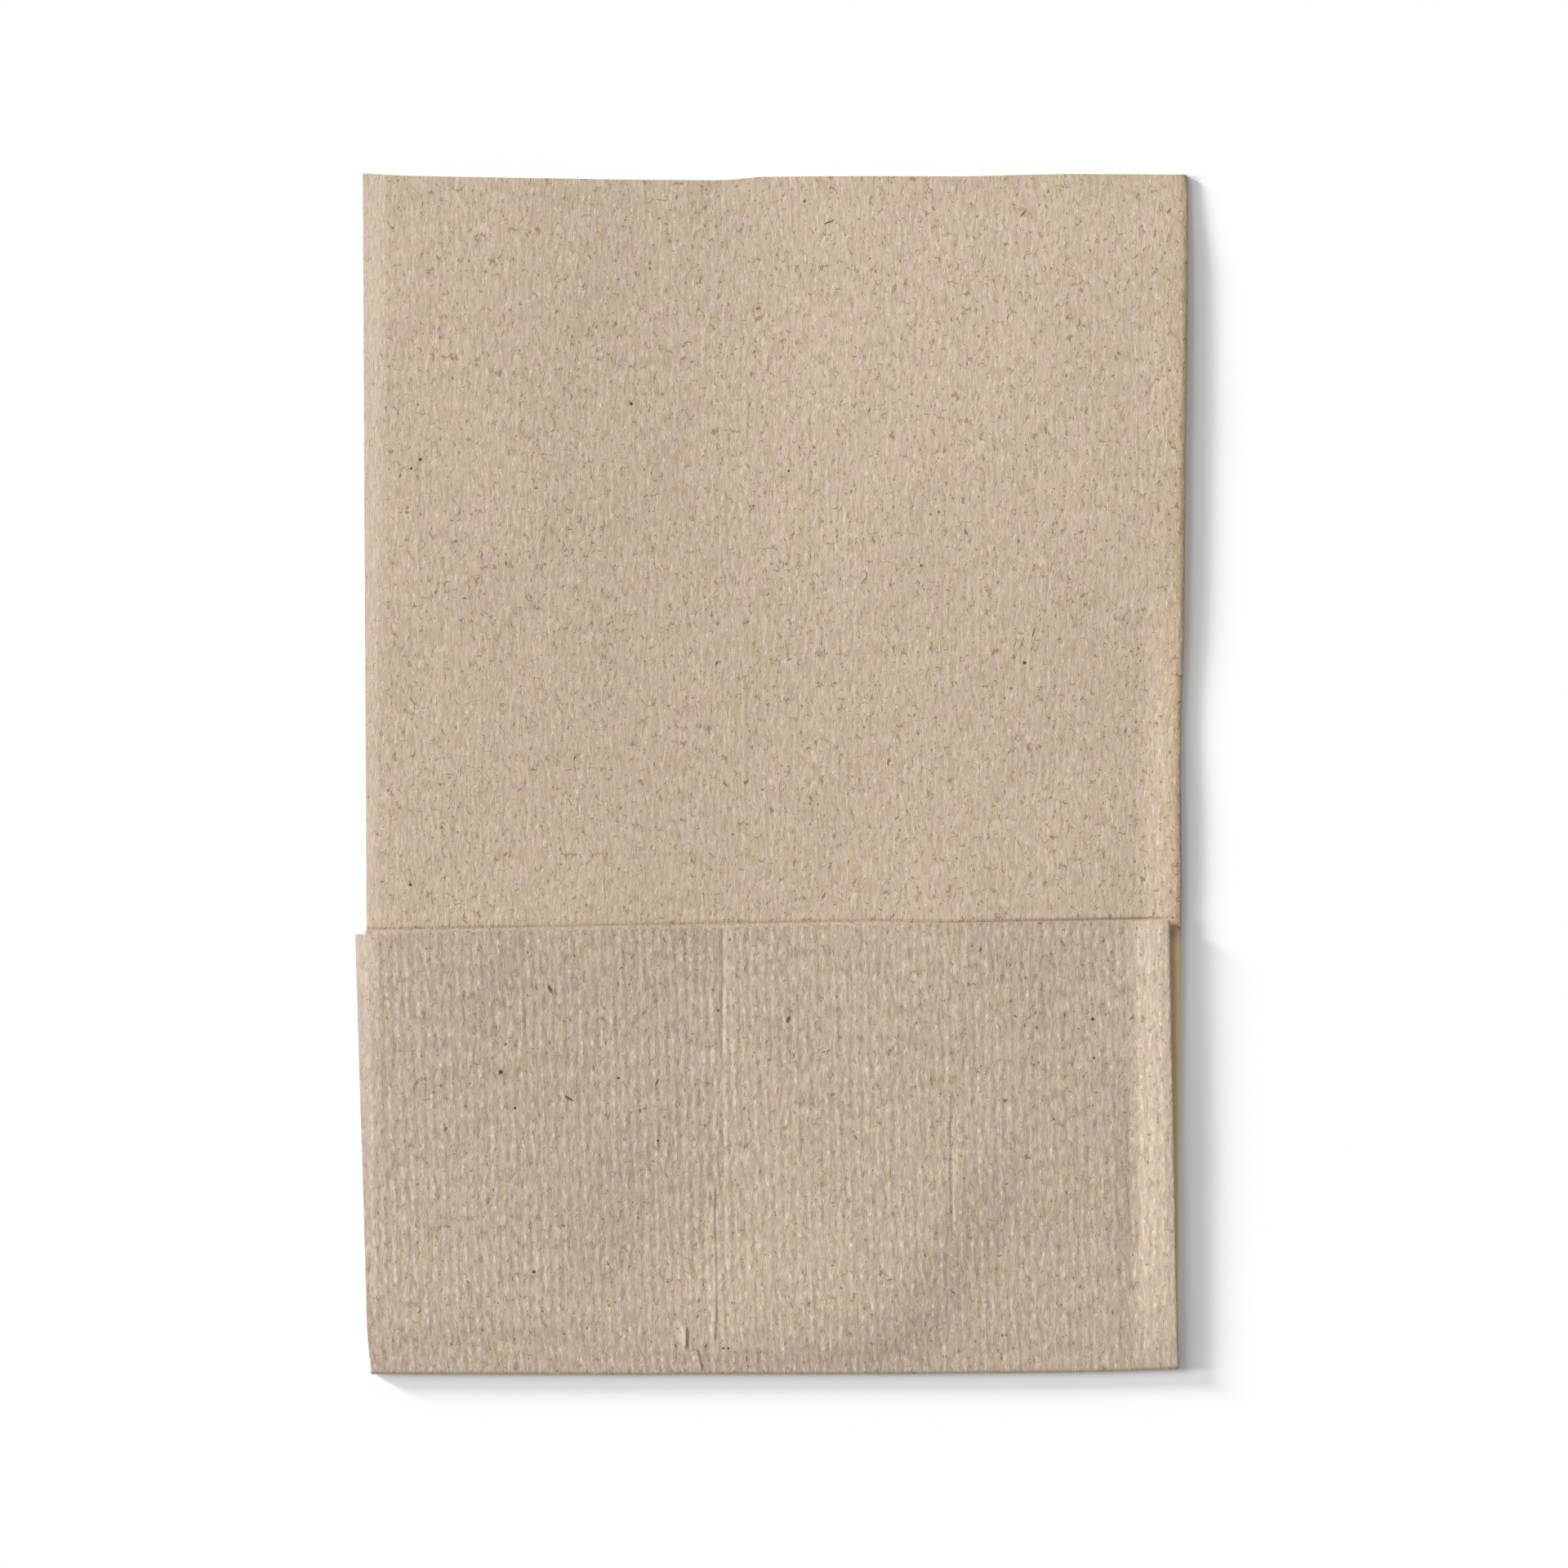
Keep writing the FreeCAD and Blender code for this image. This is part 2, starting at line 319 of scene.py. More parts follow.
# Longer specks and hairs, as x, y, half length, half width and turn in degrees
HAIRS = (
    (-44.2, -43.1, 1.00, 0.38, 115.0),
    (3.5, -49.2, 0.85, 0.42, 65.0),
    (-10.8, 22.3, 0.60, 0.26, 60.0),
    (-40.4, -65.0, 1.15, 0.26, -31.0),
    (-26.2, -67.5, 0.46, 0.22, 100.0),
    (-22.8, -61.7, 0.90, 0.20, 67.0),
    (52.7, 28.4, 1.10, 0.16, 75.0),
    (11.7, 110.7, 1.20, 0.18, 20.0),
    (50.7, 112.5, 1.00, 0.18, 50.0),
)
FAR_OFF = 1000.0

# How the light that a level sheet gets is shared out: each lamp's part, with its azimuth, elevation and
# spread in degrees, and the sky's part
LAMPS = (
    ("key", 0.29, 151.0, 12.0, 10.0),
    ("side", 0.21, 176.0, 19.0, 14.0),
    ("high", 0.16, 150.0, 37.0, 28.0),
)
FILL = 0.34
WHITE = (1.0, 1.0, 1.0, 1.0)
FLOOR_HALF = 1.5

# The camera looks straight down, at the photo's scale. The middle of the napkin's frame lies at this pixel of
# the photo.
PHOTO_SIDE = 1920
MM_PER_PIXEL = 0.164
PHOTO_MIDDLE = (943.8, 947.9)
LENS = 100.0
SENSOR = 36.0


def mix(a, b, share):
    return a + (b - a) * share


def smooth(share):
    share = np.clip(share, 0.0, 1.0)
    return share * share * (3.0 - 2.0 * share)


def fade(value, start, end):
    """A soft step, 0 up to start and 1 from end on. end may be the lower one."""
    return smooth((value - start) / (end - start))


def spot(x, y, middle_x, middle_y, half_width, half_height):
    """A soft patch, 1 in its middle and 0 at its rim."""
    return smooth(1.0 - np.hypot((x - middle_x) / half_width, (y - middle_y) / half_height))


def ripple(x, y, wavelength, seed, stretch=1.0, waves=18):
    """A smooth random field of about that wavelength, mostly between -2 and 2. stretch lengthens it in y."""
    draw = np.random.default_rng(seed)
    total = np.zeros_like(x)
    for _ in range(waves):
        angle = draw.uniform(0.0, math.pi)
        length = wavelength * draw.uniform(0.7, 1.5)
        phase = draw.uniform(0.0, 2.0 * math.pi)
        along = math.cos(angle) * x + math.sin(angle) * y / stretch
        total += np.cos(2.0 * math.pi * along / length + phase)
    return total / math.sqrt(0.5 * waves)


def value_at(place, table):
    """The value of a table of (place, value) at each place."""
    places, values = zip(*table)
    return np.interp(place, places, values)


def path_at(y, path):
    """The x of a path of (x, y) points, listed from its foot up, at each y."""
    across, up = zip(*path)
    return np.interp(y, up, across)


def reach_of(y, path, soft_end):
    """1 along a path's own stretch of y and 0 beyond it, over a soft end of that length."""
    foot, top = path[0][1], path[-1][1]
    return fade(y, foot - soft_end, foot) * fade(y, top + soft_end, top)


def groove(x, y, path, width, depth, soft_end):
    """A pressed line: a narrow valley along a path."""
    off = (x - path_at(y, path)) / width
    return -depth * np.exp(-(off**2)) * reach_of(y, path, soft_end)


def pleat(x, y, path, width, height, soft_end):
    """A pinched line: the paper climbs towards the path from the left and drops at it."""
    off = x - path_at(y, path)
    climb = np.clip(1.0 + off / width, 0.0, 1.0) ** 1.5
    fall = np.clip(1.0 - off / PLEAT_DROP, 0.0, 1.0)
    return height * np.where(off > 0.0, fall, climb) * reach_of(y, path, soft_end)


def right_of(x, y, foot, lean):
    """How far to the right of a leaning line through foot a point lies."""
    return x - foot[0] - lean * (y - foot[1])


def slant(x, y, foot, lean, width, drop):
    """A slope that faces right along a leaning line. Left of it the paper gets its height back slowly."""
    off = right_of(x, y, foot, lean) / math.hypot(1.0, lean)
    return drop * (1.0 - smooth(0.5 + off / width)) * smooth(1.0 + off / (4.0 * width))


def soft_waves(x, y):
    """Waves that every loose layer shares, so that they stay clear of each other."""
    waves = [height * ripple(x, y, length, seed, stretch) for height, length, seed, stretch in WAVES]
    return WAVE_LIFT + sum(waves)


def flap_form(x, y):
    """How the flap stands off the panel, where it was bent by handling."""
    right = slant(x, y, *RIGHT_SLANT) * fade(y, *RIGHT_SLANT_FADE)
    left = slant(x, y, *LEFT_SLANT) * fade(y, *LEFT_SLANT_FADE)
    valley = VALLEY_DEPTH * np.exp(-(((x - VALLEY_AT) / VALLEY_WIDTH) ** 2)) * fade(y, *VALLEY_FADE)
    return right + left - valley


def creases(x, y):
    """The pressed and pinched lines of the flap's upper layer."""
    pressed = sum(groove(x, y, *line) for line in PRESSED_LINES)
    return pressed + sum(pleat(x, y, *line) for line in PLEATS)


def emboss(x, y, column, row, on_flap):
    """The lattice of raised dots. It is deepest on the flap's left and faintest in the panel's middle."""
    across = 1.0 + np.cos(2.0 * math.pi * column / CELL)
    along = 1.3 + 0.7 * np.cos(2.0 * math.pi * row / CELL)
    uneven = 1.0 + sum(share * ripple(x, y, length, seed) for share, length, seed in UNEVENNESS)
    flap = FLAP_EMBOSS * (1.0 - 0.55 * fade(x, *EMBOSS_RIGHT_FADE)) * fade(y, *EMBOSS_FOOT_FADE)
    panel = PANEL_EMBOSS * (1.0 - 0.6 * spot(x, y, *EMBOSS_FAINT_SPOT))
    return np.clip(uneven, 0.2, 1.9) * np.where(on_flap, flap, panel) * 0.25 * across * along


def painted_shading(x, y):
    """Painted broad shade and light in the colour, 1 for the usual: paler at the upper right, darker in the
    middle, at the foot and along the right slant."""
    pale = PALE_BY * fade(x, *PALE_ACROSS) * fade(y, *PALE_UP)
    dark = DARK_BY * spot(x, y, *DARK_SPOT) + FOOT_DARK_BY * fade(y, *FOOT_DARK_FADE)
    off = right_of(x, y, RIGHT_SLANT[0], RIGHT_SLANT[1]) / BENT_WIDTH
    bent = BENT_DARK_BY * np.exp(-(off**2)) * fade(y, *BENT_FADE)
    return 1.0 + pale - dark - bent


def lip_length(across):
    """How far the lower flap layer reaches past the upper one."""
    return LIP * mix(1.0, LIP_RIGHT, fade(across, *LIP_FADE))


def left_line(sheet, lean):
    """The left edge of a layer that leans by an angle. The flap mirrors the panel in the bottom fold."""
    on_flap = -HALF - np.tan(lean + 2.0 * FOLD_TILT) * sheet.flap_up
    return np.where(sheet.on_flap, on_flap, -HALF + np.tan(lean) * sheet.panel_up)


def side_line(sheet, flap_up_right):
    """The outside of the side fold, with its waver and its rounded top corner."""
    on_flap = HALF - math.tan(SIDE_FOLD_LEAN + 2.0 * FOLD_TILT) * flap_up_right
    on_panel = HALF + math.tan(SIDE_FOLD_LEAN) * sheet.panel_up + path_at(sheet.panel_up, SIDE_WAVER)
    corner = np.clip(1.0 - (TOP - sheet.panel_up) / CORNER_RADIUS, 0.0, 1.0) * ~sheet.on_flap
    return np.where(sheet.on_flap, on_flap, on_panel) - CORNER_RADIUS * (1.0 - np.sqrt(1.0 - corner**2))


def lay_out(column, row):
    """Where points of the sheet lie across and up, before their heights, and the lines they lie between."""
    sheet = SimpleNamespace(column=column, row=row)
    sheet.on_back = column < COLUMNS + 0.5 * FOLD_UNITS
    sheet.on_flap = row > PANEL_ROWS + 0.5 * BEND_ROWS
    across = np.where(sheet.on_back, column / COLUMNS, (ALL_COLUMNS - column) / COLUMNS)
    sheet.across = np.clip(across, 0.0, 1.0)
    down = np.clip(row / PANEL_ROWS, 0.0, 1.0)
    along = np.clip((row - FLAP) / FLAP_ROWS, 0.0, 1.0)

    lean = np.where(sheet.on_back, BACK_LEAN, FRONT_LEAN)
    top_left = -HALF + np.tan(lean) * TOP
    top_x = mix(top_left, HALF + math.tan(SIDE_FOLD_LEAN) * TOP - ROLL_REACH, sheet.across)
    sheet.panel_up = (1.0 - down) * (TOP - value_at(top_x, TOP_FALL))
    sheet.flap_up = along * FLAP_UP_LEFT
    flap_up_right = along * FLAP_UP_RIGHT
    sheet.up = np.where(sheet.on_flap, mix(sheet.flap_up, flap_up_right, sheet.across), sheet.panel_up)

    left_up = np.where(sheet.on_flap, sheet.flap_up, sheet.panel_up)
    narrowed = FOOT_INSET * np.clip(1.0 - left_up / FOOT_REACH, 0.0, 1.0) ** 2
    sheet.left = left_line(sheet, lean) + LEFT_TRIM + narrowed
    fold = side_line(sheet, flap_up_right)
    sheet.roll = fold - ROLL_REACH
    sheet.valley = fold - VALLEY_INSET
    sheet.crease = mix(CREASE_BOTTOM, CREASE_TOP, sheet.up / PANEL_HEIGHT)

    x = mix(sheet.left, sheet.roll, sheet.across)
    sheet.shift = pleat_shift(sheet, x)
    sheet.x = x + sheet.shift
    sheet.tilt = FOLD_RISE * sheet.x / HALF
    sheet.rise = value_at(sheet.x, FOOT_RISE)
    tilt = np.where(sheet.on_flap, sheet.tilt, sheet.tilt * (1.0 - sheet.up / TOP))
    lip = np.clip((row - FREE_EDGE) / LIP_ROWS, 0.0, 1.0) * lip_length(sheet.across)
    bow = sheet.rise * np.clip(1.0 - sheet.up / FOOT_REACH, 0.0, 1.0) ** 2
    sheet.y = sheet.up + tilt + lip + bow
    return sheet


def pleat_shift(sheet, x):
    """How far columns near the lower pleat are drawn sideways, so that one of them follows it."""
    column_x = mix(sheet.left, sheet.roll, PLEAT_COLUMN / COLUMNS)
    near = np.exp(-(((x - column_x) / PULL_WIDTH) ** 2))
    near = near * fade(sheet.up, *PULL_TOP) * fade(sheet.up, *PULL_FOOT)
    return (path_at(sheet.up, LOWER_PLEAT) - column_x) * near * (sheet.on_flap & sheet.on_back)


def levels_at(share, low, high):
    """Levels mixed from low to high, as one array of five rows."""
    return low[:, None] + (high - low)[:, None] * share[None, :]


def layer_levels(sheet, on_back, plain):
    """The five levels of the layer at each point. plain is how far the layer lacks its valley."""
    settled = np.clip(sheet.up / SETTLE, 0.0, 1.0)
    free = np.clip((sheet.up - SETTLE) / (FLAP_UP_LEFT - SETTLE), 0.0, 1.0)
    lifted = FREE_LIFT[:, None] * free
    panel_front = levels_at(settled, FOOT_FRONT, PANEL_FRONT)
    flap_front = levels_at(settled, TURNED_FRONT, FLAP_FRONT) + lifted
    flap_back = levels_at(settled, TURNED_BACK, FLAP_BACK) + lifted
    on_panel = np.where(on_back, 0.0, panel_front)
    levels = np.where(sheet.on_flap, np.where(on_back, flap_back, flap_front), on_panel)
    levels[3] += PUFF * plain
    levels[2] += plain * (levels[3] - levels[2] - VALLEY_REST)
    return levels


def layer_height(sheet, levels, rounding):
    """A layer's underside: two arches that meet at the crease, a valley and a swelling to the side fold."""
    at_left, at_crease, at_valley, at_roll, rise = levels
    on_left = sheet.x < sheet.crease
    width = np.where(on_left, sheet.crease - sheet.left, sheet.valley - sheet.crease)
    reach = np.sqrt(width**2 + rounding**2) - rounding
    share = (np.sqrt((sheet.x - sheet.crease) ** 2 + rounding**2) - rounding) / reach
    share = np.clip(share, 0.0, 1.0)
    ends = np.where(on_left, at_left, at_valley)
    arched = mix(at_crease, ends, share) + 4.0 * rise * share * (1.0 - share)
    swollen = mix(at_valley, at_roll, smooth((sheet.x - sheet.valley) / (sheet.roll - sheet.valley)))
    return np.where(sheet.x > sheet.valley, swollen, arched)


def side_height(sheet, on_back, inner):
    """The height of the sheet's outer or inner face, on its back or its front layer."""
    on_panel_front = ~(sheet.on_flap | on_back)
    plain = on_panel_front * fade(sheet.up, *PLAIN_FADE)
    levels = layer_levels(sheet, on_back, plain)
    levels[2:4] -= on_panel_front * TOP_FLATTENED * fade(sheet.up, *TOP_FLAT_FADE)
    panel_rounding = mix(PANEL_ROUNDING, TOP_ROUNDING, fade(sheet.up, *TOP_ROUNDING_FADE))
    rounding = np.where(sheet.on_flap, FLAP_ROUNDING, panel_rounding)
    under = layer_height(sheet, levels, rounding)

    rounded = np.clip((sheet.x - sheet.roll + ROUNDED_WIDTH) / ROUNDED_WIDTH, 0.0, 1.0)
    under = under - on_panel_front * mix(ROUNDED_AT_VALLEY, 1.0, plain) * ROUNDED_DROP * rounded**2
    loose = np.where(on_back & ~sheet.on_flap, 0.0, fade(sheet.up, *LOOSE_FADE))
    under = under + loose * soft_waves(sheet.x, sheet.y)
    form = fade(sheet.up, *FORM_FADE) * flap_form(sheet.x, sheet.y)
    under = under + np.where(sheet.on_flap, form, 0.0)
    under = under + np.where(sheet.on_flap & on_back, creases(sheet.x, sheet.y), 0.0)
    # The outer face is the underside on the panel's back and on the flap's front layer, else the top
    outer_on_top = np.where(sheet.on_flap, on_back, ~on_back)
    return under + PAPER * (outer_on_top != inner)


def turn_side_fold(sheet, inner):
    """The points' x and height, with the side fold as a half turn from the back layer to the front one."""
    own = side_height(sheet, sheet.on_back, inner)
    other = side_height(sheet, ~sheet.on_back, inner)
    turning = (sheet.column > COLUMNS) & (sheet.column < FRONT)
    turn = np.clip((sheet.column - COLUMNS) / FOLD_UNITS, 0.0, 1.0) * math.pi
    back_side = np.where(sheet.on_back, own, other)
    middle = 0.5 * (own + other)
    z = np.where(turning, middle + (back_side - middle) * np.cos(turn), own)
    reach = ROLL_REACH - PAPER * inner
    return sheet.x + np.where(turning, reach * np.sin(turn), 0.0), z


def pressed_depth(sheet):
    """How far the panel's front layer is pressed down by the flap's free edge and round the crease's top."""
    edge = mix(FLAP_LEFT, FLAP_RIGHT, sheet.across) - AXIS_HEIGHT + FOLD_RISE * sheet.x / HALF
    past = sheet.y - edge - lip_length(sheet.across)
    deeper = 1.0 + DEEPER_BY * fade(sheet.x, *DEEPER_FADE)
    furrow = FURROW_DEPTH * deeper * fade(past, *FURROW_ABOVE) * fade(past, *FURROW_BELOW)
    furrow = furrow * fade(sheet.roll - sheet.x, *FURROW_END)
    pinched = PINCH_DEPTH * np.exp(-np.abs(sheet.x - sheet.crease) / PINCH_WIDTH)
    pinched = pinched * fade(sheet.up, *PINCH_FADE)
    upper = ~sheet.on_flap & ~sheet.on_back & (sheet.row < PANEL_ROWS)
    return np.where(upper, furrow + pinched, 0.0)


def turn_bottom_fold(sheet, z):
    """The points' y and height, with the bottom fold as a half turn that is a little flatter than round."""
    on_bend = (sheet.row > PANEL_ROWS) & (sheet.row < FLAP)
    spin = np.clip((sheet.row - PANEL_ROWS) / BEND_ROWS, 0.0, 1.0) * math.pi
    reach = np.abs(AXIS_HEIGHT - z)
    bend_y = sheet.tilt + sheet.rise - reach * np.sin(spin) ** BEND_FLATNESS
    bend_z = AXIS_HEIGHT - reach * np.cos(spin)
    return np.where(on_bend, bend_y, sheet.y), np.where(on_bend, bend_z, z)


def painted_paleness(sheet, shows):
    """Where light is painted: paler where one layer lies over the next or over the floor, as light through
    the tissue, and a painted highlight on the pressed ridge along the flap's right edge."""
    below = left_line(sheet, np.where(sheet.on_flap, FRONT_LEAN, BACK_LEAN))
    on_panel = fade(below - sheet.x, *PALE_ON_PANEL)
    on_flap = fade(below - sheet.x, *PALE_ON_FLAP) * fade(sheet.up, *PALE_ON_FLAP_UP)
    # A painted highlight on the ridge beside the flap's right edge, where it rises towards the light
    ridge = RIDGE_HIGHLIGHT * fade(sheet.x - sheet.roll, *RIDGE_FADE)
    return np.where(sheet.on_flap, on_flap + ridge, on_panel) * shows


def place(column, row, inner):
    """Points of the sheet's outer or inner face: x, y, z, the shift of their column, and then the material's
    attributes in the order of ATTRIBUTES."""
    sheet = lay_out(column, row)
    sheet.x, z = turn_side_fold(sheet, inner)
    sheet.y, z = turn_bottom_fold(sheet, z - pressed_depth(sheet))
    shows_on_flap = (row >= FLAP) & (column <= COLUMNS)
    shows = np.where(sheet.on_flap, shows_on_flap, (row <= HIDDEN_ROW) & (column >= FRONT))
    # Painted light: through a single layer, and a highlight on the flap's right ridge
    painted_pale = painted_paleness(sheet, shows)
    if not inner:
        dots = emboss(sheet.x, sheet.y, column + sheet.shift / PITCH_ACROSS, row, sheet.on_flap)
        z = z + shows * dots * (1.0 - PALE_EMBOSS_LOSS * painted_pale)
    # A mask of painted warm shade at the side fold
    past_roll = sheet.x - sheet.roll
    folded = ~sheet.on_flap * fade(past_roll, *SIDE_FOLD_FADE)
    # A mask of painted warm bounce light on the strip beside the flap, in its shadow
    painted_bounce_light = ~sheet.on_flap * fade(sheet.up, *TUCKED_TOP) * fade(sheet.up, *TUCKED_FOOT)
    painted_bounce_light = painted_bounce_light * fade(past_roll, *TUCKED_SIDE)
    # The masks of painted light and shade, with the flap's own face
    looks = [painted_pale, sheet.on_flap * shows, folded, painted_shading(sheet.x, sheet.y), painted_bounce_light]
    return np.stack([sheet.x, sheet.y, z, sheet.shift, *looks], axis=1)


def tiles(blocks):
    """Polygons over blocks of a grid. Where a fine block meets a coarse one, the coarse polygon takes in the
    fine one's points, so that the surface has no holes."""
    points = set()
    for left, right, first, last, wide, tall in blocks:
        for column in range(left, right + 1, wide):
            points.update((column, row) for row in range(first, last + 1, tall))
    polygons = []
    for left, right, first, last, wide, tall in blocks:
        for column in range(left, right, wide):
            for row in range(first, last, tall):
                rim = [(c, row) for c in range(column, column + wide)]
                rim += [(column + wide, r) for r in range(row, row + tall)]
                rim += [(c, row + tall) for c in range(column + wide, column, -1)]
                rim += [(column, r) for r in range(row + tall, row, -1)]
                polygons.append([p for p in rim if p in points])
    return polygons


def rim_of(polygons):
    """The points round the outside of a set of polygons, in order."""
    follows = {}
    edges = set()
    for polygon in polygons:
        edges.update(zip(polygon, polygon[1:] + polygon[:1]))
    for a, b in edges:
        if (b, a) not in edges:
            follows[a] = b
    start = min(follows)
    rim = [start]
    while follows[rim[-1]] != start:
        rim.append(follows[rim[-1]])
    return rim


def cut_edge(outer_rim, inner_rim, keys):
    """Faces of the cut edge, each from one side of the inner rim to the outer rim's points along it."""
    at = {point: number for number, point in enumerate(outer_rim)}
    count = len(outer_rim)
    faces = []
    for start, end in zip(inner_rim, inner_rim[1:] + inner_rim[:1]):
        span = (at[end] - at[start]) % count
        edge = [keys[(0, *outer_rim[(at[start] + k) % count])] for k in range(span + 1)]
        faces.append([keys[(1, *start)], keys[(1, *end)]] + edge[::-1])
    return faces


def make_sheet():
    """The napkin as a closed mesh: a fine outer face, a coarser inner one and the cut edge between them."""
    outer = tiles(OUTER_BLOCKS)
    inner = tiles(INNER_BLOCKS)
    keys = {}
    for side, polygons in ((0, outer), (1, inner)):
        for polygon in polygons:
            for point in polygon:
                keys.setdefault((side, *point), len(keys))
    faces = [[keys[(0, *point)] for point in polygon] for polygon in outer]
    faces += [[keys[(1, *point)] for point in reversed(polygon)] for polygon in inner]
    faces += cut_edge(rim_of(outer), rim_of(inner), keys)
    side, column, row = np.array(list(keys), float).T
    placed = np.where(side[:, None] == 0, place(column, row, inner=False), place(column, row, inner=True))
    return placed, faces, column, row


def make_napkin():
    placed, faces, column, row = make_sheet()
    points, shift = placed[:, :3], placed[:, 3]
    low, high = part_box("napkin_sheet")
    leftmost = -HALF - math.tan(BACK_LEAN + 2.0 * FOLD_TILT) * FLAP_UP_LEFT
    lowest = -FOLD_RISE - AXIS_HEIGHT * math.cos(FOLD_TILT)
    points = points * MM + np.array([low.x - leftmost * MM, low.y - lowest * MM, 0.0])
    mesh = bpy.data.meshes.new("folded_napkin")
    mesh.from_pydata(points.tolist(), [], faces)
    lay_uv(mesh, (column * PITCH_ACROSS + shift) * MM, row * PITCH_DOWN * MM)
    for name, values in zip(ATTRIBUTES, placed[:, 4:].T):
        mesh.attributes.new(name, "FLOAT", "POINT").data.foreach_set("value", values.copy())
    mesh.polygons.foreach_set("use_smooth", np.ones(len(mesh.polygons), bool))
    mesh.set_sharp_from_angle(angle=SHARP_ANGLE)
    mesh.update()
    napkin = bpy.data.objects.new("folded_napkin", mesh)
    bpy.context.scene.collection.objects.link(napkin)
    return napkin


def lay_uv(mesh, across, down):
    """Puts each point's place on the flat sheet, in metres, into the mesh as its UV."""
    layer = mesh.uv_layers.new(name="sheet")
    corners = np.zeros(len(mesh.loops), np.int32)
    mesh.loops.foreach_get("vertex_index", corners)
    layer.data.foreach_set("uv", np.stack([across[corners], down[corners]], axis=1).ravel())


class Nodes:
    """Makes nodes in a tree and links them, with plain numbers or sockets as inputs."""

    def __init__(self, tree):
        self.tree = tree
        self.tree.nodes.clear()

    def add(self, kind, settings=None, **inputs):
        node = self.tree.nodes.new(kind)
        for name, value in (settings or {}).items():
            setattr(node, name, value)
        for name, value in inputs.items():
            self.feed(node.inputs[name.replace("_", " ")], value)
        return node

    def feed(self, socket, value):
        if isinstance(value, bpy.types.NodeSocket):
            self.tree.links.new(value, socket)
        else:
            socket.default_value = value

    def attribute(self, name):
        return self.add("ShaderNodeAttribute", {"attribute_name": name}).outputs["Fac"]

    def math(self, operation, a, b=0.0, c=0.0):
        node = self.add("ShaderNodeMath", {"operation": operation})
        for socket, value in zip(node.inputs, (a, b, c)):
            self.feed(socket, value)
        return node.outputs[0]

    def product(self, *values):
        total = values[0]
        for value in values[1:]:
            total = self.math("MULTIPLY", total, value)
        return total

    def scaled(self, vector, x, y, z=1.0, offset=(0.0, 0.0, 0.0)):
        return self.add("ShaderNodeMapping", Vector=vector, Scale=(x, y, z), Location=offset).outputs[0]

    def noise(self, vector, detail=2.0, rough=0.5, distortion=0.0):
        node = self.add("ShaderNodeTexNoise", Vector=vector, Scale=1.0, Detail=detail, Roughness=rough)
        node.inputs["Distortion"].default_value = distortion
        return node.outputs["Fac"]

    def between(self, value, low, high, to_low=0.0, to_high=1.0):
        node = self.add("ShaderNodeMapRange", {"interpolation_type": "SMOOTHSTEP"}, Value=value)
        for name, number in zip(("From Min", "From Max", "To Min", "To Max"), (low, high, to_low, to_high)):
            self.feed(node.inputs[name], number)
        return node.outputs["Result"]

    def band(self, value, level, width):
        """A line mask: 1 where a field passes a level, falling to 0 that far to either side of it."""
        off = self.math("ABSOLUTE", self.math("SUBTRACT", value, level))
        return self.between(off, 0.3 * width, width, 1.0, 0.0)

    def blend(self, kind, share, a, b):
        node = self.add("ShaderNodeMix", {"data_type": "RGBA", "blend_type": kind}, Factor=share)
        first, second = [socket for socket in node.inputs if socket.type == "RGBA"]
        self.feed(first, a)
        self.feed(second, b)
        return [socket for socket in node.outputs if socket.type == "RGBA"][0]


def linear(red, green, blue):
    """A colour given as it shows on screen, 0 to 255, as the renderer wants it."""
    def one(value):
        value = value / 255.0
        return value / 12.92 if value <= 0.04045 else ((value + 0.055) / 1.055) ** 2.4
    return (one(red), one(green), one(blue), 1.0)


def mottled(n, mm):
    """The pulp's ground, with clouds of two near colours and ochre patches and stains."""
    cloud = n.noise(n.scaled(mm, 0.10, 0.08), detail=3.0, rough=0.6)
    patch = n.noise(n.scaled(mm, 0.62, 0.26, offset=(31.0, 7.0, 0.0)), detail=3.0, rough=0.6)
    stain = n.noise(n.scaled(mm, 0.85, 0.60, offset=(31.0, 7.0, 0.0)), detail=2.5, rough=0.6, distortion=0.8)
    colour = n.blend("MIX", n.between(cloud, 0.35, 0.65), linear(*ROSE_GROUND), linear(*GREEN_GROUND))
    colour = n.blend("MIX", n.between(patch, 0.44, 0.72, 0.0, 0.66), colour, linear(*OCHRE_PATCH))
    return n.blend("MIX", n.between(stain, 0.50, 0.74, 0.0, 0.60), colour, linear(*OCHRE_STAIN))


def streaked(n, colour, streak, rib, dot, turned):
    """The colour lightened and darkened by the painted broad shade and light, the streaks, and painted light
    and shade on the embossed ribs.
    """
    contrast = n.math("MULTIPLY_ADD", turned, 0.28, 0.56)
    # The painted broad shade and light sets the lightness here
    lightness = n.math("MULTIPLY_ADD", n.math("SUBTRACT", streak, 0.5), contrast, n.attribute("painted_shading"))
    # Painted light and shade of the embossed ribs
    rib_share = n.math("MULTIPLY_ADD", turned, 0.040, 0.020)
    rib_shading = n.product(rib, rib_share, n.math("MULTIPLY_ADD", dot, 0.35, 1.0))
    lightness = n.math("ADD", lightness, rib_shading)
    grey = n.add("ShaderNodeCombineColor", Red=lightness, Green=lightness, Blue=lightness).outputs[0]
    return n.blend("MULTIPLY", 1.0, colour, grey)


